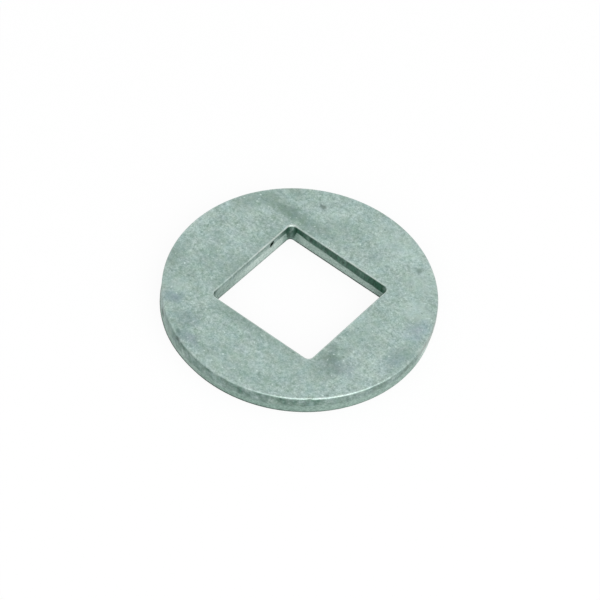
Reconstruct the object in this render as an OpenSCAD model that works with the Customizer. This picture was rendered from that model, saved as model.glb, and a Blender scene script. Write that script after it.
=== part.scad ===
// Round steel washer with a square hole, blanked and punched from plate.
// It lies on z = 0 with the hole's sides along X and Y. The press worked from above, so the upper
// edges are rolled over, a smooth sheared band follows, and below it the metal broke and leans back.

/* [Disc] */
// Outside diameter of the disc, over its sheared band
disc_d = 24; // [22:0.5:40]
// Thickness of the plate
plate_t = 2; // [1.6:0.1:4]

/* [Square hole] */
// Width of the hole between its sheared bands
hole_w = 10.9; // [6:0.1:12]
// Radius of the hole's inside corners
corner_r = 0.5; // [0.2:0.05:2]

/* [Rim edge] */
// Radius rolled over the rim's upper edge
rim_roll_r = 0.15; // [0.05:0.05:0.4]
// Height of the sheared band round the rim
rim_band_h = 0.85; // [0.2:0.05:1]
// How far the broken face leans in by its foot
rim_lean = 0.1; // [0.02:0.01:0.15]
// Flat tumbled along the rim's lower edge
rim_foot = 0.08; // [0.03:0.01:0.15]

/* [Hole edge] */
// Radius rolled over the hole's upper edge
hole_roll_r = 0.11; // [0.05:0.01:0.4]
// Height of the sheared band round the hole
hole_band_h = 0.6; // [0.2:0.05:1]
// How far the broken face leans out by its foot
hole_lean = 0.06; // [0.02:0.01:0.15]
// Flat tumbled along the hole's lower edge
hole_foot = 0.08; // [0.03:0.01:0.15]

/* [Hidden] */
$fn = 128;

disc_r = disc_d / 2;
// Heights at which the sheared bands end and the broken faces begin
rim_break_z = plate_t - rim_roll_r - rim_band_h;
hole_break_z = plate_t - hole_roll_r - hole_band_h;
// Centres of the hole's corner radii, which are also the ends of its straight sides
corner_at = hole_w / 2 - corner_r;
// Length by which a cut runs past the face it leaves through
clear = 1;

// Half section of the disc, with the radius across and the height up
module disc_section() {
    difference() {
        polygon([
            [0, 0],
            [disc_r - rim_lean - rim_foot, 0],
            [disc_r - rim_lean, rim_foot],
            [disc_r, rim_break_z],
            [disc_r, plate_t],
            [0, plate_t],
        ]);
        translate([disc_r - rim_roll_r, plate_t - rim_roll_r])
            difference() {
                square(rim_roll_r + clear);
                circle(rim_roll_r);
            }
    }
}

// Half section of the punched space, out to a sheared band at the given reach
module punch_section(reach) {
    polygon([
        [0, -clear],
        [reach + hole_lean + hole_foot, -clear],
        [reach + hole_lean + hole_foot, 0],
        [reach + hole_lean, hole_foot],
        [reach, hole_break_z],
        [reach, plate_t + clear],
        [0, plate_t + clear],
    ]);
    translate([reach, plate_t - hole_roll_r])
        difference() {
            square([hole_roll_r, hole_roll_r + clear]);
            translate([hole_roll_r, 0])
                circle(hole_roll_r);
        }
}

// Space left by the punch: the section is carried straight along the sides and round the corners
module punched_hole() {
    for (side = [0, 90, 180, 270])
        rotate(side) {
            rotate([90, 0, 0])
                linear_extrude(2 * corner_at, center = true)
                    punch_section(hole_w / 2);
            translate([corner_at, corner_at])
                rotate_extrude(angle = 90)
                    punch_section(corner_r);
        }
}

module washer() {
    color("#a0b6af")
        difference() {
            rotate_extrude()
                disc_section();
            punched_hole();
        }
}

washer();
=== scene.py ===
import math

import bpy
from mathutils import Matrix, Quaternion, Vector


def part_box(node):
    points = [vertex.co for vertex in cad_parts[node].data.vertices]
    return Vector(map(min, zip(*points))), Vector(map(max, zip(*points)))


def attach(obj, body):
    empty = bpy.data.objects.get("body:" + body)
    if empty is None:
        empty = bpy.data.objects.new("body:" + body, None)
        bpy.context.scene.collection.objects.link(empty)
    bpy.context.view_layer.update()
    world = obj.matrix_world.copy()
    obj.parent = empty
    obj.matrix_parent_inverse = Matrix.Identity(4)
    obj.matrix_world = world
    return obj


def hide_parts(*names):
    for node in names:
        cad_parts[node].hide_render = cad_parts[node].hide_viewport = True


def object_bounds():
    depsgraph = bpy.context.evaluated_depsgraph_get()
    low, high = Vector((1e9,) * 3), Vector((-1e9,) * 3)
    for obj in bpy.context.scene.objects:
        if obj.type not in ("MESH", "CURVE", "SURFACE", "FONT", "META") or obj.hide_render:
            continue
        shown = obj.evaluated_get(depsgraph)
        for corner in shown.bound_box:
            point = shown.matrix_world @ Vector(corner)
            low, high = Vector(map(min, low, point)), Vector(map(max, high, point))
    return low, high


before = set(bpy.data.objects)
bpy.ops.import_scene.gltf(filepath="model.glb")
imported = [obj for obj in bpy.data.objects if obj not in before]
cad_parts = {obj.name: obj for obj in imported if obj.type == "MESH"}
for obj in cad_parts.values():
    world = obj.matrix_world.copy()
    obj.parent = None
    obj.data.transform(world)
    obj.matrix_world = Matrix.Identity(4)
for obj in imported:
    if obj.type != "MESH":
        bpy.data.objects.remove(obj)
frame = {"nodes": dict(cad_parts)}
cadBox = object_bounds()
mm = 0.001
print("frame loaded:", ", ".join(frame["nodes"]))


def linearColor(code):  # sRGB hex to linear RGBA
    parts = [int(code[i:i + 2], 16) / 255 for i in (1, 3, 5)]
    return [c / 12.92 if c <= 0.04045 else ((c + 0.055) / 1.055) ** 2.4 for c in parts] + [1.0]


def setInputs(tree, node, inputs):  # a value that is a node or a socket gets linked
    for key, value in inputs.items():
        if isinstance(value, bpy.types.Node):
            value = next(socket for socket in value.outputs if socket.enabled)
        if isinstance(value, bpy.types.NodeSocket):
            tree.links.new(value, node.inputs[key])
        else:
            node.inputs[key].default_value = value


def addNode(tree, kind, settings=None, inputs=None):
    node = tree.nodes.new(kind)
    for name, value in (settings or {}).items():
        setattr(node, name, value)
    setInputs(tree, node, inputs or {})
    return node


# settings that many nodes share
times, plus, minus = ({"operation": word} for word in ("MULTIPLY", "ADD", "SUBTRACT"))
timesPlus, largest, smallest = ({"operation": word} for word in ("MULTIPLY_ADD", "MAXIMUM", "MINIMUM"))
dot = {"operation": "DOT_PRODUCT"}
soft = {"interpolation_type": "SMOOTHSTEP"}
ofColors, ofVectors = {"data_type": "RGBA"}, {"data_type": "VECTOR"}
seeded = {"noise_dimensions": "4D"}

# plated steel, barrel tumbled: dull green-grey and mottled on the face, a little brighter on the rolled
# edges with a painted highlight, dark and dragged where the punch sheared it and darker still with painted
# reflection and shade, paler and gritty where it broke and paler still with painted light
plating = {
    "dark": "#8da29a", "middle": "#a6bab4", "pale": "#bfd1cc",
    "cloud": 3.2 * mm, "grain": 0.34 * mm,     # soft clouds, and the sandy grain over them
    "grainShare": 0.69,
    "stainBend": 1.2 * mm,                     # length of the bends in a stain's edge
    "stainShift": 1.6 * mm,                    # and how far they reach
    "stainDepth": 3.0 * mm,                    # half size of a stain down the rim
    "driftLength": 0.9 * mm,                   # the plating wanders over this length
    "hueDrift": 0.027, "tintDrift": 0.12,      # this far between green and blue, and in depth
    "speck": 0.28 * mm,                        # specks, drawn coarse enough to show
    "brightSpeck": "#d8e8e3", "darkSpeck": "#6f847c",
    "drawn": "#7c9289", "worn": "#e2e5e1",     # punch-drawn margin, and edges rubbed bright under a painted highlight and reflection
    # the sheared band's own burnished colour, darkened to paint the dark reflection and shade on it
    "sheared": ("#143325", "#3c6c58"),
    "drag": 0.16 * mm, "dragSquash": 0.15,     # drag marks this far apart, and drawn out down the band
    # the break's own tone, and the paler tone painted where light falls on it
    "broken": ("#6a8379", "#95ada3"), "breakLightTone": ("#aabdb5", "#d8e4df"), "grit": 0.25 * mm,
    # painted contact shadow at the foot, and painted shade in tears and knocks
    "foot": "#2e4037", "torn": "#0a1b13",
    "faceRoughness": 0.62, "edgeRoughness": 0.33, "breakRoughness": 0.75,
    "breakMetal": 0.5,                         # the break scatters light, as grey oxide does
    "bumpDepth": 0.006 * mm,
}

# handling and plating stains on the face: centre and half sizes in mm, turn in degrees, colour, strength
stains = [
    {"at": (-5.0, 6.5), "size": (6.6, 1.2), "turn": 0, "color": "#7b9187", "strength": 0.5},
    {"at": (-6.4, 6.5), "size": (2.4, 0.7), "turn": 0, "color": "#71877d", "strength": 0.35},
    {"at": (-4.85, 8.97), "size": (0.5, 0.4), "turn": 0, "color": "#63776f", "strength": 0.7},
    {"at": (-7.6, 8.7), "size": (1.4, 0.9), "turn": 0, "color": "#6f857b", "strength": 0.38},
    {"at": (-8.9, -0.2), "size": (1.2, 1.0), "turn": 0, "color": "#788f86", "strength": 0.4},
    {"at": (2.3, 7.1), "size": (1.2, 0.8), "turn": 20, "color": "#788f86", "strength": 0.4},
    {"at": (6.2, 8.95), "size": (0.5, 0.4), "turn": 0, "color": "#6b8078", "strength": 0.7},
    {"at": (6.7, -4.0), "size": (1.5, 1.1), "turn": 30, "color": "#667d73", "strength": 0.6},
    {"at": (6.1, -3.0), "size": (0.9, 0.8), "turn": 0, "color": "#667d73", "strength": 0.45},
    {"at": (7.8, -4.6), "size": (0.9, 0.8), "turn": 0, "color": "#6b8177", "strength": 0.5},
    {"at": (7.3, -2.4), "size": (0.9, 0.8), "turn": 0, "color": "#748a80", "strength": 0.4},
    {"at": (7.1, -5.6), "size": (1.5, 1.7), "turn": 0, "color": "#7c9288", "strength": 0.4},
    {"at": (8.4, -4.1), "size": (1.5, 1.2), "turn": 30, "color": "#8799a3", "strength": 0.4},
    {"at": (10.9, -0.4), "size": (1.1, 2.2), "turn": 0, "color": "#8095a0", "strength": 0.4},
    {"at": (10.4, 3.4), "size": (1.3, 2.2), "turn": 0, "color": "#91a7b1", "strength": 0.4},
    {"at": (-5.3, -8.9), "size": (1.7, 1.1), "turn": 0, "color": "#7b919c", "strength": 0.3},
    {"at": (-7.7, -8.0), "size": (1.5, 1.2), "turn": 0, "color": "#8096a0", "strength": 0.5},
    {"at": (-4.9, -10.4), "size": (0.7, 0.5), "turn": 0, "color": "#6b8078", "strength": 0.7},
    {"at": (-3.6, -10.6), "size": (2.2, 0.9), "turn": 0, "color": "#7e939c", "strength": 0.4},
    {"at": (-10.8, -4.0), "size": (1.3, 2.6), "turn": 0, "color": "#7f968c", "strength": 0.4},
    {"at": (-10.2, 4.8), "size": (2.2, 1.8), "turn": 0, "color": "#82988e", "strength": 0.45},
    {"at": (3.3, -9.5), "size": (0.5, 0.4), "turn": 0, "color": "#758b82", "strength": 0.6},
    {"at": (2.4, 9.9), "size": (4.2, 2.0), "turn": 0, "color": "#b4c8c1", "strength": 0.35},
    {"at": (1.2, -10.2), "size": (5.2, 2.4), "turn": 0, "color": "#8fa59d", "strength": 0.35},
    {"at": (7.2, 0.4), "size": (1.6, 3.8), "turn": 0, "color": "#8fa59d", "strength": 0.35},
    {"at": (9.0, 5.0), "size": (1.9, 1.9), "turn": 0, "color": "#bed1ca", "strength": 0.5},
    {"at": (-8.2, -6.6), "size": (2.2, 1.6), "turn": 0, "color": "#b8cbc4", "strength": 0.35},
    {"at": (-9.0, 6.3), "size": (1.7, 1.6), "turn": 0, "color": "#84998f", "strength": 0.4},
    {"at": (7.1, 7.9), "size": (2.6, 2.2), "turn": 45, "color": "#b4c6bf", "strength": 0.4},
    {"at": (11.0, 0.6), "size": (1.3, 2.6), "turn": 0, "color": "#8aa098", "strength": 0.4},
    {"at": (4.6, -7.2), "size": (6.0, 1.9), "turn": 0, "color": "#8ca29a", "strength": 0.22},
    {"at": (-6.2, -9.9), "size": (2.4, 1.8), "turn": -30, "color": "#879d95", "strength": 0.3},
    {"at": (-7.8, -2.2), "size": (2.2, 2.4), "turn": 0, "color": "#8fa59d", "strength": 0.35},
    {"at": (-2.2, 8.0), "size": (2.0, 1.7), "turn": 0, "color": "#869c93", "strength": 0.35},
]


def makePlatedSteel():
    material = bpy.data.materials.new("tumbledPlatedSteel")
    material.use_nodes = True
    tree = material.node_tree
    where = addNode(tree, "ShaderNodeTexCoord").outputs["Object"]
    zone = {name: addNode(tree, "ShaderNodeAttribute", {"attribute_name": name}).outputs["Fac"]
            for name in ("rolled", "drawn", "worn", "sheared", "broken", "clean", "foot", "torn")}

    # mottle over the whole face
    cloud = addNode(tree, "ShaderNodeTexNoise", None,
                    {"Vector": where, "Scale": 1 / plating["cloud"], "Detail": 2.0, "Roughness": 0.8})
    grain = addNode(tree, "ShaderNodeTexNoise", None,
                    {"Vector": where, "Scale": 1 / plating["grain"], "Detail": 2.0, "Roughness": 1.0})
    mottle = addNode(tree, "ShaderNodeMix", None, {0: plating["grainShare"], 2: cloud, 3: grain})
    tone = addNode(tree, "ShaderNodeValToRGB", None, {"Fac": mottle})
    stops = tone.color_ramp.elements
    stops.new(0.5)
    for stop, place, name in zip(stops, (0.35, 0.5, 0.65), ("dark", "middle", "pale")):
        stop.position = place
        stop.color = linearColor(plating[name])

    # stains, their edges broken up by bending the coordinates
    bend = addNode(tree, "ShaderNodeTexNoise", None,
                   {"Vector": where, "Scale": 1 / plating["stainBend"], "Detail": 4.0})
    bent = addNode(tree, "ShaderNodeVectorMath", timesPlus,
                   {0: bend.outputs["Color"], 1: (plating["stainShift"],) * 3, 2: where})
    shift = plating["stainShift"] / 2  # the bending moves the whole pattern by this much
    for stain in stains:
        x, y = stain["at"]
        wide, tall = stain["size"]
        spot = addNode(tree, "ShaderNodeMapping", {"vector_type": "TEXTURE"},
                       {"Vector": bent, "Rotation": (0, 0, math.radians(stain["turn"])),
                        "Location": (x * mm + shift, y * mm + shift, cadBox[1].z + shift),
                        "Scale": (wide * mm, tall * mm, plating["stainDepth"])})
        fade = addNode(tree, "ShaderNodeTexGradient", {"gradient_type": "SPHERICAL"}, {"Vector": spot})
        amount = addNode(tree, "ShaderNodeMapRange", soft,
                         {"Value": fade.outputs["Fac"], "From Max": 0.8, "To Max": stain["strength"]})
        tone = addNode(tree, "ShaderNodeMix", ofColors,
                       {0: amount, 6: tone, 7: linearColor(stain["color"])})

    # the plating drifts a little between green and blue
    drift = addNode(tree, "ShaderNodeTexNoise", None,
                    {"Vector": where, "Scale": 1 / plating["driftLength"], "Detail": 3.0})
    drift = addNode(tree, "ShaderNodeSeparateColor", None, {0: drift.outputs["Color"]}).outputs
    hue = addNode(tree, "ShaderNodeMapRange", None,
                  {"Value": drift[0], "From Min": 0.3, "From Max": 0.7,
                   "To Min": 0.5 - plating["hueDrift"], "To Max": 0.5 + plating["hueDrift"]})
    tint = addNode(tree, "ShaderNodeMapRange", None,
                   {"Value": drift[1], "From Min": 0.3, "From Max": 0.7,
                    "To Min": 1 - plating["tintDrift"], "To Max": 1 + plating["tintDrift"]})
    tone = addNode(tree, "ShaderNodeHueSaturation", None, {"Hue": hue, "Saturation": tint, "Color": tone})

    # specks: tiny bright knocks and fewer dark pits
    speck = addNode(tree, "ShaderNodeTexNoise", None,
                    {"Vector": where, "Scale": 1 / plating["speck"], "Detail": 1.0})
    for low, high, name, strength in ((0.68, 0.78, "brightSpeck", 0.65), (0.34, 0.24, "darkSpeck", 0.5)):
        amount = addNode(tree, "ShaderNodeMapRange", None,
                         {"Value": speck, "From Min": low, "From Max": high, "To Max": strength})
        tone = addNode(tree, "ShaderNodeMix", ofColors,
                       {0: amount, 6: tone, 7: linearColor(plating[name])})

    # grit of the break, and drag marks down the sheared band
    grit = addNode(tree, "ShaderNodeTexNoise", None,
                   {"Vector": where, "Scale": 1 / plating["grit"], "Detail": 3.0, "Roughness": 0.6})
    squashed = addNode(tree, "ShaderNodeVectorMath", times, {0: where, 1: (1, 1, plating["dragSquash"])})
    drag = addNode(tree, "ShaderNodeTexNoise", None,
                   {"Vector": squashed, "Scale": 1 / plating["drag"], "Detail": 3.0, "Roughness": 0.7})
    mixes = {}
    for name, pattern in (("broken", grit), ("breakLightTone", grit), ("sheared", drag)):
        amount = addNode(tree, "ShaderNodeMapRange", None,
                         {"Value": pattern, "From Min": 0.3, "From Max": 0.7})
        darker, lighter = (linearColor(code) for code in plating[name])
        mixes[name] = addNode(tree, "ShaderNodeMix", ofColors, {0: amount, 6: darker, 7: lighter})
    mixes["broken"] = addNode(tree, "ShaderNodeMix", ofColors,
                              {0: zone["clean"], 6: mixes["broken"], 7: mixes["breakLightTone"]})

    # zones of the stamped edges, each laid over the ones before it
    for name in ("drawn", "worn", "broken", "sheared", "foot", "torn"):
        color = mixes[name] if name in mixes else linearColor(plating[name])
        tone = addNode(tree, "ShaderNodeMix", ofColors, {0: zone[name], 6: tone, 7: color})

    # fine grain in the relief, a shine that follows the zones, and none of it in a tear, whose painted
    # shade stays dark
    relief = addNode(tree, "ShaderNodeBump", None,
                     {"Strength": 0.5, "Distance": plating["bumpDepth"], "Height": grit})
    shine = addNode(tree, "ShaderNodeMapRange", None,
                    {"Value": zone["rolled"],
                     "To Min": plating["faceRoughness"], "To Max": plating["edgeRoughness"]})
    shine = addNode(tree, "ShaderNodeMix", None,
                    {0: zone["broken"], 2: shine, 3: plating["breakRoughness"]})
    bare = addNode(tree, "ShaderNodeMapRange", None,
                   {"Value": zone["broken"], "To Min": 1.0, "To Max": plating["breakMetal"]})
    bare = addNode(tree, "ShaderNodeMix", None, {0: zone["torn"], 2: bare, 3: 0.0})
    gleam = addNode(tree, "ShaderNodeMapRange", None, {"Value": zone["torn"], "To Min": 0.5, "To Max": 0.0})
    setInputs(tree, tree.nodes["Principled BSDF"],
              {"Base Color": tone, "Roughness": shine, "Metallic": bare,
               "Specular IOR Level": gleam, "Normal": relief})
    print("plating made:", len(stains), "stains")
    return material


# stamped ring: sizes in metres, worked out from the frame where the frame holds them
washerLow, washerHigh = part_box("washer")
stamping = {
    "discRadius": (washerHigh.x - washerLow.x) / 2,
    "thickness": washerHigh.z,
    "holeHalf": 5.45 * mm, "cornerRadius": 0.5 * mm, "cornerSteps": 16,
    "rimRoll": 0.17 * mm, "holeRoll": 0.11 * mm,       # edges drawn over by the press
    "cornerOver": 1.75,                                # the hole's back corner is drawn over times this
    "cornerBand": 1.35 * mm,                           # sheared this much deeper
    "cornerSharp": 0.15 * mm,                          # and broken out this much sharper at its foot
    "sharpFrom": 0.3 * mm, "cornerFade": 0.5 * mm,     # from the first depth, and paler from the second
    "rimFoot": 0.08 * mm, "holeFoot": 0.08 * mm,       # lower edges worn by tumbling
    "footShade": (0.27 * mm, 0.14 * mm),               # heights between which painted shadow darkens the foot
    "edgeShade": (0.4 * mm, 0.2 * mm),                 # depths between which the hole's edge does, as painted shade
    "rimBand": 1.02 * mm, "holeBand": 0.8 * mm,        # depth at which the sheared band ends
    "rimTilt": (-0.28, -0.08),                         # mm deeper at +X and +Y: the die sat off centre
    "holeTilt": (0.22, 0.03),
    "rimWander": 0.22 * mm, "holeWander": 0.07 * mm,   # how unevenly the band ends
    "wanderLength": 1.5 * mm,                          # and over what length
    "rimBlend": 0.2, "holeBlend": 0.12,                # share of the break over which it ends
    "rimLean": 0.115 * mm, "holeLean": 0.12 * mm,      # the break leans back by this much at its foot
    "rimLeanTilt": (0.07, 0.01),                       # mm more of it at +X and +Y
    "holeLeanTilt": (0.0, -0.06),
    "sideLean": 0.15 * mm,                             # less by this at the rim's far left, which flares
    "rimRight": (0.82, 0.57, 0),                       # ways to the rim's right and front
    "rimFront": (0.57, -0.82, 0),
    "rimBandShade": (0.46, 0.54, 0.34),                      # how dark the rim's band is at its left, front and right: own colour and painted shade
    "holeBandShade": (0.18, 1.0),                            # and the hole, and its +Y wall
    "holeBreakLight": (0.35, 0.72),                         # how much painted light pales the break there, and on its -X wall
    "patchLength": 0.9 * mm,                             # size of the patches in the band's shade and the painted light and highlight
    "drawnWay": (-0.5, -0.85, 0),                      # the face is drawn down most this way
    "breakGrain": 0.025 * mm, "grainLength": 0.4 * mm,
    "edgeGrain": 0.6,                                  # share of that grain on the rolled edges
    "faceDents": 0.006 * mm, "dentLength": 0.9 * mm,
    "raggedBy": 0.09 * mm, "raggedLength": 0.45 * mm,  # how far a knock's outline strays, over what length
    "stations": 560, "faceRows": 52, "underRows": 20, "wallRows": 24, "rollRows": 7, "footRows": 3,
    "besideRows": 200,                                 # rows a 200th in keep the edges' tones off the face
    "weld": 0.001 * mm, "seed": 4.0,
}

# tears and knocks: centre and half sizes in mm, turn about X in degrees, depth in mm, darkness of the
# painted shade in it
knocks = [
    {"at": (-5.45, 2.84, 1.45), "size": (0.64, 0.36, 0.46), "turn": -43, "depth": 0.07, "dark": 1.0},
    {"at": (8.2, -8.75, 1.95), "size": (0.22, 0.22, 0.25), "turn": 0, "depth": 0.06, "dark": 0.2},
    {"at": (-4.4, -11.16, 1.75), "size": (0.3, 0.3, 0.28), "turn": 0, "depth": 0.03, "dark": 0.4},
    {"at": (-7.85, -9.1, 0.9), "size": (0.5, 0.5, 0.45), "turn": 0, "depth": 0.03, "dark": 0.6},
    {"at": (-5.45, -4.65, 1.75), "size": (0.3, 0.25, 0.2), "turn": 0, "depth": 0.02, "dark": 0.4},
    {"at": (-5.3, -5.25, 1.2), "size": (0.3, 0.25, 0.4), "turn": 0, "depth": 0.02, "dark": 0.4},
]


def sectionLine(size):
    # walk round the cut section: depth behind the sheared wall, share of the way to the rim, height
    def bend(share, radius, height, count, upper):
        line = []
        for i in range(count + 1):
            turn = math.pi / 2 * i / count
            sine, rest = math.sin(turn), 1 - math.cos(turn)
            across, down = (1 - sine, rest) if upper else (rest, sine)
            line.append((radius * across, share, height - radius * down))
        return line

    def between(start, end, count):
        return [tuple(a + (b - a) * i / count for a, b in zip(start, end)) for i in range(1, count)]

    def edge(share, roll, foot):  # from the face down to the underside
        upper = bend(share, roll, size["thickness"], size["rollRows"], True)
        lower = bend(share, foot, foot, size["footRows"], False)
        return upper + between(upper[-1], lower[0], size["wallRows"]) + lower

    rim = edge(1.0, size["rimRoll"], size["rimFoot"])
    hole = edge(0.0, size["holeRoll"], size["holeFoot"])
    beside = between(hole[0], rim[0], size["besideRows"])
    face = [beside[0]] + between(hole[0], rim[0], size["faceRows"]) + [beside[-1]]
    under = between(rim[-1], hole[-1], size["underRows"])
    return [hole[0]] + face + rim + under + hole[::-1]


def makeWasherTree(size, section, rows, finish):
    tree = bpy.data.node_groups.new("stampedRing", "GeometryNodeTree")
    tree.interface.new_socket(name="Geometry", in_out="OUTPUT", socket_type="NodeSocketGeometry")
    values = {}
    for name, kind, value in (
        ("Section", "Object", section), ("Finish", "Material", finish),
        ("Rows", "Int", rows), ("Stations", "Int", size["stations"]),
        ("Disc Radius", "Float", size["discRadius"]), ("Thickness", "Float", size["thickness"]),
        ("Hole Width", "Float", 2 * size["holeHalf"]), ("Corner Radius", "Float", size["cornerRadius"]),
        ("Hole Roll", "Float", size["holeRoll"]), ("Rim Roll", "Float", size["rimRoll"]),
        ("Corner Over", "Float", size["cornerOver"]), ("Corner Band", "Float", size["cornerBand"]),
        ("Corner Sharp", "Float", size["cornerSharp"]),
        ("Hole Band", "Float", size["holeBand"]), ("Rim Band", "Float", size["rimBand"]),
        ("Hole Tilt", "Vector", [v * mm / size["holeHalf"] for v in size["holeTilt"]] + [0.0]),
        ("Rim Tilt", "Vector", [v * mm / size["discRadius"] for v in size["rimTilt"]] + [0.0]),
        ("Hole Wander", "Float", size["holeWander"]), ("Rim Wander", "Float", size["rimWander"]),
        ("Hole Blend", "Float", size["holeBlend"]), ("Rim Blend", "Float", size["rimBlend"]),
        ("Hole Lean", "Float", size["holeLean"]), ("Rim Lean", "Float", size["rimLean"]),
        ("Hole Lean Tilt", "Vector", [v * mm / size["holeHalf"] for v in size["holeLeanTilt"]] + [0.0]),
        ("Rim Lean Tilt", "Vector", [v * mm / size["discRadius"] for v in size["rimLeanTilt"]] + [0.0]),
        ("Side Lean", "Float", size["sideLean"]),
        ("Left Rub", "Float", size["rimBandShade"][0]), ("Front Rub", "Float", size["rimBandShade"][1]),
        ("Right Rub", "Float", size["rimBandShade"][2]),
        ("Hole Rub", "Float", size["holeBandShade"][0]), ("Wall Rub", "Float", size["holeBandShade"][1]),
        ("Hole Clean", "Float", size["holeBreakLight"][0]), ("Wall Clean", "Float", size["holeBreakLight"][1]),
        ("Break Grain", "Float", size["breakGrain"]), ("Face Dents", "Float", size["faceDents"]),
        ("Seed", "Float", size["seed"]),
    ):
        socket = tree.interface.new_socket(name=name, in_out="INPUT", socket_type="NodeSocket" + kind)
        values[socket.identifier] = value
    given = addNode(tree, "NodeGroupInput").outputs

    # flat grid: rows follow the section, stations go round
    around = addNode(tree, "ShaderNodeMath", plus, {0: given["Stations"], 1: 1.0})
    grid = addNode(tree, "GeometryNodeMeshGrid", None,
                   {"Size X": 1.0, "Size Y": 1.0, "Vertices X": given["Rows"], "Vertices Y": around})
    position = addNode(tree, "GeometryNodeInputPosition")
    place = addNode(tree, "ShaderNodeSeparateXYZ", None, {0: position}).outputs
    turn = addNode(tree, "ShaderNodeMath", plus, {0: place["Y"], 1: 0.5})
    index = addNode(tree, "GeometryNodeInputIndex")
    row = addNode(tree, "ShaderNodeMath", {"operation": "DIVIDE"}, {0: index, 1: around})
    row = addNode(tree, "ShaderNodeMath", {"operation": "FLOOR"}, {0: row})

    # the section's point for each row
    drawing = addNode(tree, "GeometryNodeObjectInfo", None, {"Object": given["Section"]}).outputs
    point = addNode(tree, "GeometryNodeSampleIndex", {"data_type": "FLOAT_VECTOR"},
                    {"Geometry": drawing["Geometry"], "Index": row, "Value": position})
    depth, share, height = addNode(tree, "ShaderNodeSeparateXYZ", None, {0: point}).outputs

    # the two outlines that the section is stretched between
    square = addNode(tree, "GeometryNodeCurvePrimitiveQuadrilateral", None,
                     {"Width": given["Hole Width"], "Height": given["Hole Width"]})
    square = addNode(tree, "GeometryNodeFilletCurve", {"mode": "POLY"},
                     {"Curve": square, "Radius": given["Corner Radius"], "Count": size["cornerSteps"]})
    hole = addNode(tree, "GeometryNodeSampleCurve", {"mode": "FACTOR"},
                   {"Curves": square, "Factor": turn}).outputs
    holeOut = addNode(tree, "ShaderNodeVectorMath", {"operation": "CROSS_PRODUCT"},
                      {0: hole["Tangent"], 1: (0, 0, 1)})
    perimeter = 8 * size["holeHalf"] - (8 - 2 * math.pi) * size["cornerRadius"]
    firstTurn = math.pi / 4 * (1 - 2 * math.pi * size["cornerRadius"] / perimeter)  # lines up the corners
    angle = addNode(tree, "ShaderNodeMath", timesPlus, {0: turn, 1: 2 * math.pi, 2: firstTurn})
    rimOut = addNode(tree, "ShaderNodeCombineXYZ", None,
                     {"X": addNode(tree, "ShaderNodeMath", {"operation": "COSINE"}, {0: angle}),
                      "Y": addNode(tree, "ShaderNodeMath", {"operation": "SINE"}, {0: angle})})
    rim = addNode(tree, "ShaderNodeVectorMath", {"operation": "SCALE"},
                  {0: rimOut, "Scale": given["Disc Radius"]})
    outline = addNode(tree, "ShaderNodeMix", ofVectors, {0: share, 4: hole["Position"], 5: rim})
    outlineAt = addNode(tree, "ShaderNodeSeparateXYZ", None, {0: outline}).outputs

    # walls and rolled edges are rows with a share of 0 or 1, and the rest is flat
    middle = addNode(tree, "ShaderNodeMath", {"operation": "PINGPONG"}, {0: share, 1: 0.5})
    wall = addNode(tree, "ShaderNodeMath", {"operation": "LESS_THAN"}, {0: middle, 1: 0.001})
    flat = addNode(tree, "ShaderNodeMath", minus, {0: 1.0, 1: wall})

    # places for the marks: -0.5 to 0.5 across the hole, and -1 to 1 from the rim's left to its right
    inHole = addNode(tree, "ShaderNodeVectorMath", {"operation": "DIVIDE"},
                     {0: outline, 1: given["Hole Width"]})
    inHoleX, inHoleY, _ = addNode(tree, "ShaderNodeSeparateXYZ", None, {0: inHole}).outputs
    spanX = addNode(tree, "ShaderNodeMath", {"operation": "ABSOLUTE"}, {0: inHoleX})
    spanY = addNode(tree, "ShaderNodeMath", {"operation": "ABSOLUTE"}, {0: inHoleY})
    rightward = addNode(tree, "ShaderNodeVectorMath", dot, {0: rimOut, 1: size["rimRight"]})
    frontward = addNode(tree, "ShaderNodeVectorMath", dot, {0: rimOut, 1: size["rimFront"]})

    # back corner of the hole, at -X and +Y, where the edge is drawn over further
    leftward = addNode(tree, "ShaderNodeMath", times, {0: inHoleX, 1: -1.0})
    cornerNear = addNode(tree, "ShaderNodeMath", smallest, {0: leftward, 1: inHoleY})
    corner = addNode(tree, "ShaderNodeMapRange", soft,
                     {"Value": cornerNear, "From Min": 0.435, "From Max": 0.475})
    corner = addNode(tree, "ShaderNodeMix", None, {0: share, 2: corner, 3: 0.0})
    cornerMiddle = addNode(tree, "ShaderNodeMapRange", soft,
                           {"Value": cornerNear, "From Min": 0.457, "From Max": 0.484})
    over = addNode(tree, "ShaderNodeMix", None, {0: corner, 2: 1.0, 3: given["Corner Over"]})
    roll = addNode(tree, "ShaderNodeMix", None, {0: share, 2: given["Hole Roll"], 3: given["Rim Roll"]})
    rollDrop = addNode(tree, "ShaderNodeMath", times, {0: roll, 1: over})
    drop = addNode(tree, "ShaderNodeMath", minus, {0: given["Thickness"], 1: height})
    edgeDrop = addNode(tree, "ShaderNodeMath", times, {0: drop, 1: over})
    wallDrop = addNode(tree, "ShaderNodeMapRange", {"clamp": False},
                       {"Value": drop, "From Min": roll, "From Max": given["Thickness"],
                        "To Min": rollDrop, "To Max": given["Thickness"]})
    drop = addNode(tree, "ShaderNodeMath", smallest, {0: edgeDrop, 1: wallDrop})
    height = addNode(tree, "ShaderNodeMath", minus, {0: given["Thickness"], 1: drop})
    depth = addNode(tree, "ShaderNodeMath", times, {0: depth, 1: over})

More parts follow.
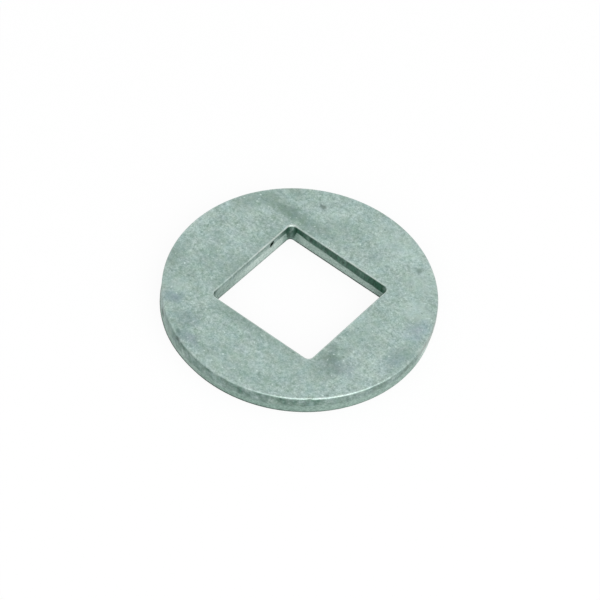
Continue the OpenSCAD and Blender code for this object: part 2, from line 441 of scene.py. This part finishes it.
    # depth at which the sheared band ends, and the break below it
    tilt = addNode(tree, "ShaderNodeMix", ofVectors,
                   {0: share, 4: given["Hole Tilt"], 5: given["Rim Tilt"]})
    tilt = addNode(tree, "ShaderNodeVectorMath", dot, {0: outline, 1: tilt})
    band = addNode(tree, "ShaderNodeMix", None, {0: share, 2: given["Hole Band"], 3: given["Rim Band"]})
    band = addNode(tree, "ShaderNodeMath", plus, {0: band, 1: tilt})
    band = addNode(tree, "ShaderNodeMath", timesPlus, {0: corner, 1: given["Corner Band"], 2: band})
    wander = addNode(tree, "ShaderNodeTexNoise", seeded,
                     {"Vector": outline, "W": given["Seed"], "Scale": 1 / size["wanderLength"],
                      "Detail": 4.0, "Roughness": 0.6})
    wander = addNode(tree, "ShaderNodeMapRange", {"clamp": False},
                     {"Value": wander, "From Min": 0.3, "From Max": 0.7, "To Min": -1.0})
    swing = addNode(tree, "ShaderNodeMix", None,
                    {0: share, 2: given["Hole Wander"], 3: given["Rim Wander"]})
    band = addNode(tree, "ShaderNodeMath", timesPlus, {0: wander, 1: swing, 2: band})
    fallen = addNode(tree, "ShaderNodeMapRange", None,
                     {"Value": drop, "From Min": band, "From Max": given["Thickness"]})
    blend = addNode(tree, "ShaderNodeMix", None, {0: share, 2: given["Hole Blend"], 3: given["Rim Blend"]})
    broken = addNode(tree, "ShaderNodeMapRange", soft, {"Value": fallen, "From Max": blend})
    broken = addNode(tree, "ShaderNodeMath", times, {0: broken, 1: wall})
    rolled = addNode(tree, "ShaderNodeMapRange", soft,
                     {"Value": drop, "From Min": rollDrop, "From Max": 0.0})
    rolled = addNode(tree, "ShaderNodeMath", times, {0: rolled, 1: wall})

    # the band's shade and the painted light and highlights come in patches, in some places only faintly so
    spot = addNode(tree, "ShaderNodeCombineXYZ", None,
                   {"X": outlineAt["X"], "Y": outlineAt["Y"], "Z": height})
    patch = addNode(tree, "ShaderNodeTexNoise", seeded,
                    {"Vector": spot, "W": given["Seed"], "Scale": 1 / size["patchLength"],
                     "Detail": 3.0, "Roughness": 0.7})
    patch = addNode(tree, "ShaderNodeMapRange", None,
                    {"Value": patch, "From Min": 0.32, "From Max": 0.68, "To Min": 0.3, "To Max": 1.7})
    faint = addNode(tree, "ShaderNodeMapRange", None,
                    {"Value": patch, "From Min": 0.3, "From Max": 1.7, "To Min": 0.75, "To Max": 1.25})

    # painted highlight: bright line along the rolled edges, plainest at the -X side of the hole and at the
    # rim's front
    highlightLine = addNode(tree, "ShaderNodeMapRange", soft,
                       {"Value": inHoleY, "From Min": -0.1, "From Max": 0.15,
                        "To Min": 0.12, "To Max": 0.36})
    holeHighlight = addNode(tree, "ShaderNodeMapRange", None,
                       {"Value": inHoleX, "From Min": -0.49, "From Max": -0.4,
                        "To Min": highlightLine, "To Max": 0.2})
    holeHighlight = addNode(tree, "ShaderNodeMath", times, {0: holeHighlight, 1: patch})
    holeHighlight = addNode(tree, "ShaderNodeMix", None, {0: corner, 2: holeHighlight, 3: 0.35})
    rimHighlight = addNode(tree, "ShaderNodeMapRange", soft,
                      {"Value": rightward, "From Min": -0.1, "From Max": 0.2, "To Max": 0.14})
    highlightEnd = addNode(tree, "ShaderNodeMapRange", soft,
                      {"Value": rightward, "From Min": 0.35, "From Max": 0.6, "To Min": 1.0, "To Max": 0.0})
    inFront = addNode(tree, "ShaderNodeMapRange", None,
                      {"Value": frontward, "From Min": 0.0, "From Max": 0.3})
    for factor in (highlightEnd, inFront, patch):
        rimHighlight = addNode(tree, "ShaderNodeMath", times, {0: rimHighlight, 1: factor})
    highlightShare = addNode(tree, "ShaderNodeMix", None, {0: share, 2: holeHighlight, 3: rimHighlight})
    # painted highlight on the rolled edges, over some real rubbing
    worn = addNode(tree, "ShaderNodeMapRange", None, {"Value": rolled, "From Min": 0.05, "From Max": 0.35})
    worn = addNode(tree, "ShaderNodeMath", times, {0: worn, 1: highlightShare})

    # painted reflection of the white table: the rim's wall is pale at its far right
    farRightReflection = addNode(tree, "ShaderNodeMapRange", soft,
                       {"Value": rightward, "From Min": 0.87, "From Max": 0.94, "To Max": 0.6})
    onRim = addNode(tree, "ShaderNodeMath", minus, {0: wall, 1: rolled})
    onRim = addNode(tree, "ShaderNodeMath", times, {0: onRim, 1: share})
    worn = addNode(tree, "ShaderNodeMath", timesPlus, {0: onRim, 1: farRightReflection, 2: worn})

    # how dark the sheared band is in the hole, its own colour plus painted dark reflection and shade:
    # most on the +Y wall, a little less in its middle, and much at -Y
    holeBandShade = addNode(tree, "ShaderNodeMath", times, {0: given["Hole Rub"], 1: patch})
    wallBandShade = addNode(tree, "ShaderNodeMath", {**times, "use_clamp": True},
                      {0: given["Wall Rub"], 1: faint})
    holeBandShade = addNode(tree, "ShaderNodeMapRange", soft,
                      {"Value": inHoleY, "From Min": 0.3, "From Max": 0.475,
                       "To Min": holeBandShade, "To Max": wallBandShade})
    wallEnds = addNode(tree, "ShaderNodeMapRange", soft,
                       {"Value": spanX, "From Min": 0.22, "From Max": 0.42, "To Min": 0.9, "To Max": 1.0})
    holeBandShade = addNode(tree, "ShaderNodeMath", times, {0: holeBandShade, 1: wallEnds})
    nearCorner = addNode(tree, "ShaderNodeMapRange", soft,
                         {"Value": inHoleY, "From Min": -0.41, "From Max": -0.47, "To Max": 0.75})
    holeBandShade = addNode(tree, "ShaderNodeMath", largest, {0: holeBandShade, 1: nearCorner})

    # painted shade: a thin dark line under the hole's edge, away from the +Y wall
    shadeEnd, shadeTop = size["edgeShade"]
    underEdgeShade = addNode(tree, "ShaderNodeMapRange", soft,
                        {"Value": drop, "From Min": shadeEnd, "From Max": shadeTop, "To Max": 0.18})
    offWall = addNode(tree, "ShaderNodeMapRange", None,
                      {"Value": inHoleY, "From Min": 0.47, "From Max": 0.3})
    underEdgeShade = addNode(tree, "ShaderNodeMath", times, {0: underEdgeShade, 1: offWall})
    holeBandShade = addNode(tree, "ShaderNodeMath", {**plus, "use_clamp": True}, {0: holeBandShade, 1: underEdgeShade})

    # the back corner fades downwards and is patchy in its middle
    cornerFade = addNode(tree, "ShaderNodeMapRange", None,
                         {"Value": drop, "From Min": size["cornerFade"], "From Max": given["Thickness"],
                          "To Min": 1.0, "To Max": 0.5})
    cornerFade = addNode(tree, "ShaderNodeMix", None, {0: corner, 2: 1.0, 3: cornerFade})
    cornerPatch = addNode(tree, "ShaderNodeMath", times, {0: patch, 1: 0.65})
    cornerFade = addNode(tree, "ShaderNodeMix", None, {0: cornerMiddle, 2: cornerFade, 3: cornerPatch})
    holeBandShade = addNode(tree, "ShaderNodeMath", times, {0: holeBandShade, 1: cornerFade})

    # how dark the band is on the rim, its own colour plus painted dark reflection: most in front, and
    # little at the far left
    rimBandShade = addNode(tree, "ShaderNodeMapRange", soft,
                     {"Value": rightward, "From Min": -0.35, "From Max": 0.0,
                      "To Min": given["Left Rub"], "To Max": given["Front Rub"]})
    rimBandShade = addNode(tree, "ShaderNodeMapRange", soft,
                     {"Value": rightward, "From Min": 0.1, "From Max": 0.5,
                      "To Min": rimBandShade, "To Max": given["Right Rub"]})
    farLeft = addNode(tree, "ShaderNodeMapRange", soft,
                      {"Value": rightward, "From Min": -0.75, "From Max": -0.97,
                       "To Min": 1.0, "To Max": 0.5})
    for factor in (farLeft, patch):
        rimBandShade = addNode(tree, "ShaderNodeMath", times, {0: rimBandShade, 1: factor})

    # the sheared band lies between the rolled edge and the break
    bandShade = addNode(tree, "ShaderNodeMix", None, {0: share, 2: holeBandShade, 3: rimBandShade})
    sheared = addNode(tree, "ShaderNodeMath", minus, {0: wall, 1: broken})
    sheared = addNode(tree, "ShaderNodeMath", {**minus, "use_clamp": True}, {0: sheared, 1: rolled})
    sheared = addNode(tree, "ShaderNodeMath", times, {0: sheared, 1: bandShade})

    # painted contact shadow at the foot, fainter on the hole's -X wall and towards the rim's right
    footTop, footBottom = size["footShade"]
    foot = addNode(tree, "ShaderNodeMapRange", soft,
                   {"Value": height, "From Min": footTop, "From Max": footBottom})
    rimFoot = addNode(tree, "ShaderNodeMapRange", None,
                      {"Value": rightward, "From Min": -0.6, "From Max": 0.6, "To Min": 1.0, "To Max": 0.3})
    holeFoot = addNode(tree, "ShaderNodeMapRange", None,
                       {"Value": inHoleX, "From Min": -0.49, "From Max": -0.4,
                        "To Min": 0.5, "To Max": 1.0})
    footShadowShare = addNode(tree, "ShaderNodeMix", None, {0: share, 2: holeFoot, 3: rimFoot})
    for factor in (wall, footShadowShare):
        foot = addNode(tree, "ShaderNodeMath", times, {0: foot, 1: factor})

    # round the hole the face is drawn down and duller, most on the -X and -Y sides and not at the corners
    span = addNode(tree, "ShaderNodeMath", largest, {0: spanX, 1: spanY})
    margin = addNode(tree, "ShaderNodeMapRange", soft, {"Value": span, "From Min": 0.63, "From Max": 0.51})
    short = addNode(tree, "ShaderNodeMath", smallest, {0: spanX, 1: spanY})
    offCorner = addNode(tree, "ShaderNodeMapRange", soft,
                        {"Value": short, "From Min": 0.36, "From Max": 0.5, "To Min": 0.36, "To Max": 0.0})
    drawn = addNode(tree, "ShaderNodeVectorMath", dot, {0: inHole, 1: size["drawnWay"]})
    drawn = addNode(tree, "ShaderNodeMapRange", None,
                    {"Value": drawn, "From Min": -0.35, "From Max": 0.4, "To Max": offCorner})
    for factor in (margin, flat):
        drawn = addNode(tree, "ShaderNodeMath", times, {0: drawn, 1: factor})

    # painted light in the hole: the break is palest on the +Y half of the -X wall, which faces the light,
    # and dull at the back corner and at +X
    holeBreakLight = addNode(tree, "ShaderNodeMapRange", soft,
                        {"Value": inHoleX, "From Min": -0.5, "From Max": -0.4,
                         "To Min": given["Wall Clean"], "To Max": given["Hole Clean"]})
    dullEnd = addNode(tree, "ShaderNodeMapRange", soft,
                      {"Value": inHoleX, "From Min": 0.34, "From Max": 0.47, "To Min": 1.0, "To Max": 0.0})
    wallFade = addNode(tree, "ShaderNodeMapRange", soft,
                       {"Value": inHoleY, "From Min": -0.3, "From Max": 0.02, "To Min": 0.3, "To Max": 1.0})
    cornerDull = addNode(tree, "ShaderNodeMapRange", soft,
                         {"Value": cornerNear, "From Min": 0.38, "From Max": 0.45,
                          "To Min": 1.0, "To Max": 0.0})
    for factor in (dullEnd, wallFade, cornerDull, faint):
        holeBreakLight = addNode(tree, "ShaderNodeMath", times, {0: holeBreakLight, 1: factor})

    # painted light on the rim's break: a little paler at the left and right, and most at the far right
    rimBreakLight = addNode(tree, "ShaderNodeMapRange", None,
                       {"Value": rightward, "From Min": -0.1, "From Max": 0.5, "To Max": 0.13})
    leftBreakLight = addNode(tree, "ShaderNodeMapRange", None,
                        {"Value": rightward, "From Min": -0.5, "From Max": -0.75, "To Max": 0.2})
    for part in (leftBreakLight, farRightReflection):
        rimBreakLight = addNode(tree, "ShaderNodeMath", plus, {0: rimBreakLight, 1: part})
    clean = addNode(tree, "ShaderNodeMix", None, {0: share, 2: holeBreakLight, 3: rimBreakLight})

    # tears and knocks, each an egg-shaped hollow with a ragged outline and painted shade inside
    ragged = addNode(tree, "ShaderNodeTexNoise", {**seeded, "normalize": False},
                     {"Vector": spot, "W": given["Seed"], "Scale": 1 / size["raggedLength"],
                      "Detail": 3.0, "Roughness": 0.6})
    ragged = addNode(tree, "ShaderNodeVectorMath", timesPlus,
                     {0: ragged.outputs["Color"], 1: (size["raggedBy"],) * 3, 2: spot})
    sunk, torn = 0.0, 0.0
    for knock in knocks:
        egg = addNode(tree, "FunctionNodeCombineTransform", None,
                      {"Translation": [v * mm for v in knock["at"]],
                       "Rotation": (math.radians(knock["turn"]), 0, 0),
                       "Scale": [v * mm for v in knock["size"]]})
        egg = addNode(tree, "FunctionNodeInvertMatrix", None, {0: egg})
        egg = addNode(tree, "FunctionNodeTransformPoint", None, {"Vector": ragged, "Transform": egg})
        egg = addNode(tree, "ShaderNodeVectorMath", {"operation": "LENGTH"}, {0: egg})
        egg = addNode(tree, "ShaderNodeMapRange", soft, {"Value": egg, "From Min": 1.0, "From Max": 0.6})
        sunk = addNode(tree, "ShaderNodeMath", timesPlus, {0: egg, 1: knock["depth"] * mm, 2: sunk})
        torn = addNode(tree, "ShaderNodeMath", {**timesPlus, "use_clamp": True},
                       {0: egg, 1: knock["dark"], 2: torn})

    # how far each row stands back from the wall: first the grain of the break and of the rolled edges
    grain = addNode(tree, "ShaderNodeTexNoise", seeded,
                    {"Vector": spot, "W": given["Seed"], "Scale": 1 / size["grainLength"],
                     "Detail": 4.0, "Roughness": 0.65})
    rough = addNode(tree, "ShaderNodeMath", timesPlus, {0: rolled, 1: size["edgeGrain"], 2: broken})
    grain = addNode(tree, "ShaderNodeMath", times, {0: grain, 1: rough})
    back = addNode(tree, "ShaderNodeMath", timesPlus, {0: grain, 1: given["Break Grain"], 2: depth})

    # then the lean of the break
    leanTilt = addNode(tree, "ShaderNodeMix", ofVectors,
                       {0: share, 4: given["Hole Lean Tilt"], 5: given["Rim Lean Tilt"]})
    leanTilt = addNode(tree, "ShaderNodeVectorMath", dot, {0: outline, 1: leanTilt})
    flare = addNode(tree, "ShaderNodeMapRange", soft,
                    {"Value": rightward, "From Min": -0.7, "From Max": -1.0, "To Max": given["Side Lean"]})
    rimLean = addNode(tree, "ShaderNodeMath", minus, {0: given["Rim Lean"], 1: flare})
    lean = addNode(tree, "ShaderNodeMix", None, {0: share, 2: given["Hole Lean"], 3: rimLean})
    lean = addNode(tree, "ShaderNodeMath", plus, {0: lean, 1: leanTilt})
    back = addNode(tree, "ShaderNodeMath", timesPlus, {0: fallen, 1: lean, 2: back})

    # and the hollows of the knocks, and the sharper foot of the back corner
    back = addNode(tree, "ShaderNodeMath", timesPlus, {0: sunk, 1: wall, 2: back})
    sharp = addNode(tree, "ShaderNodeMapRange", None,
                    {"Value": drop, "From Min": size["sharpFrom"], "From Max": given["Thickness"],
                     "To Max": given["Corner Sharp"]})
    atCorner = addNode(tree, "ShaderNodeMix", None, {0: share, 2: cornerMiddle, 3: 0.0})
    back = addNode(tree, "ShaderNodeMath", timesPlus, {0: sharp, 1: atCorner, 2: back})

    # stretch the section from the hole to the rim
    fromHole = addNode(tree, "ShaderNodeVectorMath", timesPlus, {0: holeOut, 1: back, 2: hole["Position"]})
    inward = addNode(tree, "ShaderNodeMath", minus, {0: given["Disc Radius"], 1: back})
    fromRim = addNode(tree, "ShaderNodeVectorMath", {"operation": "SCALE"}, {0: rimOut, "Scale": inward})
    spread = addNode(tree, "ShaderNodeMix", ofVectors, {0: share, 4: fromHole, 5: fromRim})

    # shallow dents over both faces, always into the metal
    dents = addNode(tree, "ShaderNodeTexNoise", seeded,
                    {"Vector": spread, "W": given["Seed"], "Scale": 1 / size["dentLength"], "Detail": 3.0})
    side = addNode(tree, "ShaderNodeMapRange", None,
                   {"Value": height, "From Max": given["Thickness"], "To Min": 1.0, "To Max": -1.0})
    for factor in (flat, side):
        dents = addNode(tree, "ShaderNodeMath", times, {0: dents, 1: factor})
    level = addNode(tree, "ShaderNodeMath", timesPlus, {0: dents, 1: given["Face Dents"], 2: height})
    raised = addNode(tree, "ShaderNodeCombineXYZ", None, {"Z": level})
    final = addNode(tree, "ShaderNodeVectorMath", plus, {0: spread, 1: raised})

    # marks for the finish, then the grid is wrapped and its seams closed
    mesh = grid.outputs["Mesh"]
    for name, value in (("rolled", rolled), ("drawn", drawn), ("worn", worn), ("sheared", sheared),
                        ("broken", broken), ("clean", clean), ("foot", foot), ("torn", torn)):
        mesh = addNode(tree, "GeometryNodeStoreNamedAttribute", {"data_type": "FLOAT", "domain": "POINT"},
                       {"Geometry": mesh, "Name": name, "Value": value})
    mesh = addNode(tree, "GeometryNodeSetPosition", None, {"Geometry": mesh, "Position": final})
    mesh = addNode(tree, "GeometryNodeMergeByDistance", None, {"Geometry": mesh, "Distance": size["weld"]})
    mesh = addNode(tree, "GeometryNodeSetShadeSmooth", None, {"Geometry": mesh})
    mesh = addNode(tree, "GeometryNodeRealizeInstances", None, {"Geometry": mesh})
    mesh = addNode(tree, "GeometryNodeSetMaterial", None, {"Geometry": mesh, "Material": given["Finish"]})
    addNode(tree, "NodeGroupOutput", None, {0: mesh})
    return tree, values


def makeWasher(size, finish):
    line = sectionLine(size)
    drawing = bpy.data.meshes.new("sectionDrawing")
    drawing.from_pydata(line, [(i, i + 1) for i in range(len(line) - 1)], [])
    section = bpy.data.objects.new("sectionDrawing", drawing)
    washer = bpy.data.objects.new("stampedWasher", bpy.data.meshes.new("stampedWasher"))
    for thing in (section, washer):
        bpy.context.scene.collection.objects.link(thing)
    tree, values = makeWasherTree(size, section, len(line), finish)
    ring = washer.modifiers.new("stampedRing", "NODES")
    ring.node_group = tree
    for identifier, value in values.items():
        ring[identifier] = value
    graph = bpy.context.evaluated_depsgraph_get()
    made = bpy.data.meshes.new_from_object(washer.evaluated_get(graph),
                                           preserve_all_data_layers=True, depsgraph=graph)
    washer.modifiers.remove(ring)
    washer.data = made
    bpy.data.objects.remove(section)
    print("washer made:", len(made.vertices), "points,", len(made.polygons), "faces")
    return washer


finish = makePlatedSteel()
washer = makeWasher(stamping, finish)
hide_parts("washer")
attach(washer, "root")

# white table under soft studio light
studio = {
    "tableSize": 4.0, "tableWhite": "#f5f5f5",
    "cleanWhite": 0.9,                         # share of plain white in what is seen of the table
    "sky": 0.8,                                # strength of the light from all round
    "boxAcross": 0.85, "boxAway": 0.5, "boxPower": 2.55,
    "boxSide": 25.0, "boxRise": 29.0,          # degrees to the right of the camera, and up
}


def seenPlainly(tree):  # 1 on rays from the camera, also by way of metal or glass
    ray = addNode(tree, "ShaderNodeLightPath").outputs
    seen = addNode(tree, "ShaderNodeMath", plus, {0: ray["Is Camera Ray"], 1: ray["Is Glossy Ray"]})
    return addNode(tree, "ShaderNodeMath", {**plus, "use_clamp": True},
                   {0: seen, 1: ray["Is Transmission Ray"]})


def makeStudio(azimuth):
    table = bpy.data.meshes.new("table")
    half = studio["tableSize"] / 2
    corners = [(-half, -half, 0), (half, -half, 0), (half, half, 0), (-half, half, 0)]
    table.from_pydata(corners, [], [(0, 1, 2, 3)])
    floor = bpy.data.objects.new("table", table)
    bpy.context.scene.collection.objects.link(floor)
    paper = bpy.data.materials.new("whitePaper")  # matt, and clean white to the eye and in the metal
    paper.use_nodes = True
    tree = paper.node_tree
    matt = tree.nodes["Principled BSDF"]
    setInputs(tree, matt, {"Base Color": linearColor(studio["tableWhite"]),
                           "Roughness": 1.0, "Specular IOR Level": 0.0})
    seen = addNode(tree, "ShaderNodeMath", times, {0: seenPlainly(tree), 1: studio["cleanWhite"]})
    glow = addNode(tree, "ShaderNodeEmission", None, {"Strength": 1.0})
    mixed = addNode(tree, "ShaderNodeMixShader", None, {0: seen, 1: matt, 2: glow})
    setInputs(tree, tree.nodes["Material Output"], {"Surface": mixed})
    table.materials.append(paper)

    world = bpy.data.worlds.new("studio")
    world.use_nodes = True
    tree = world.node_tree
    level = addNode(tree, "ShaderNodeMapRange", None,
                    {"Value": seenPlainly(tree), "To Min": studio["sky"], "To Max": 1.0})
    setInputs(tree, tree.nodes["Background"], {"Color": (1, 1, 1, 1), "Strength": level})
    bpy.context.scene.world = world

    lamp = bpy.data.lights.new("softbox", "AREA")
    lamp.shape = "DISK"
    lamp.size = studio["boxAcross"]
    lamp.energy = studio["boxPower"]
    softbox = bpy.data.objects.new("softbox", lamp)
    side, rise = math.radians(azimuth + studio["boxSide"]), math.radians(studio["boxRise"])
    toBox = Vector((math.sin(side) * math.cos(rise), -math.cos(side) * math.cos(rise), math.sin(rise)))
    softbox.location = studio["boxAway"] * toBox
    softbox.rotation_mode = "QUATERNION"
    softbox.rotation_quaternion = (-softbox.location).to_track_quat("-Z", "Y")
    bpy.context.scene.collection.objects.link(softbox)
    print("studio made")


# long lens looking down on the face
view = {
    "azimuth": 34.56, "elevation": 49.67, "roll": 6.23,
    "distance": 386.6 * mm, "lens": 267.2, "sensor": 36.0,
    "picture": 600, "middle": (298.6, 306.1),   # pixel where the centre of the underside falls
}


def makeCamera():
    data = bpy.data.cameras.new("camera")
    data.lens, data.sensor_width = view["lens"], view["sensor"]
    data.shift_x = (view["picture"] / 2 - view["middle"][0]) / view["picture"]
    data.shift_y = (view["middle"][1] - view["picture"] / 2) / view["picture"]
    data.clip_start, data.clip_end = 0.01, 20.0
    camera = bpy.data.objects.new("camera", data)
    turn, rise = math.radians(view["azimuth"]), math.radians(view["elevation"])
    back = Vector((math.sin(turn) * math.cos(rise), -math.cos(turn) * math.cos(rise), math.sin(rise)))
    camera.location = back * view["distance"]
    camera.rotation_mode = "QUATERNION"
    camera.rotation_quaternion = ((-back).to_track_quat("-Z", "Y")
                                  @ Quaternion((0, 0, 1), math.radians(view["roll"])))
    bpy.context.scene.collection.objects.link(camera)
    bpy.context.scene.camera = camera
    print("camera made")


makeStudio(view["azimuth"])
makeCamera()
bpy.context.scene.view_settings.view_transform = "Standard"
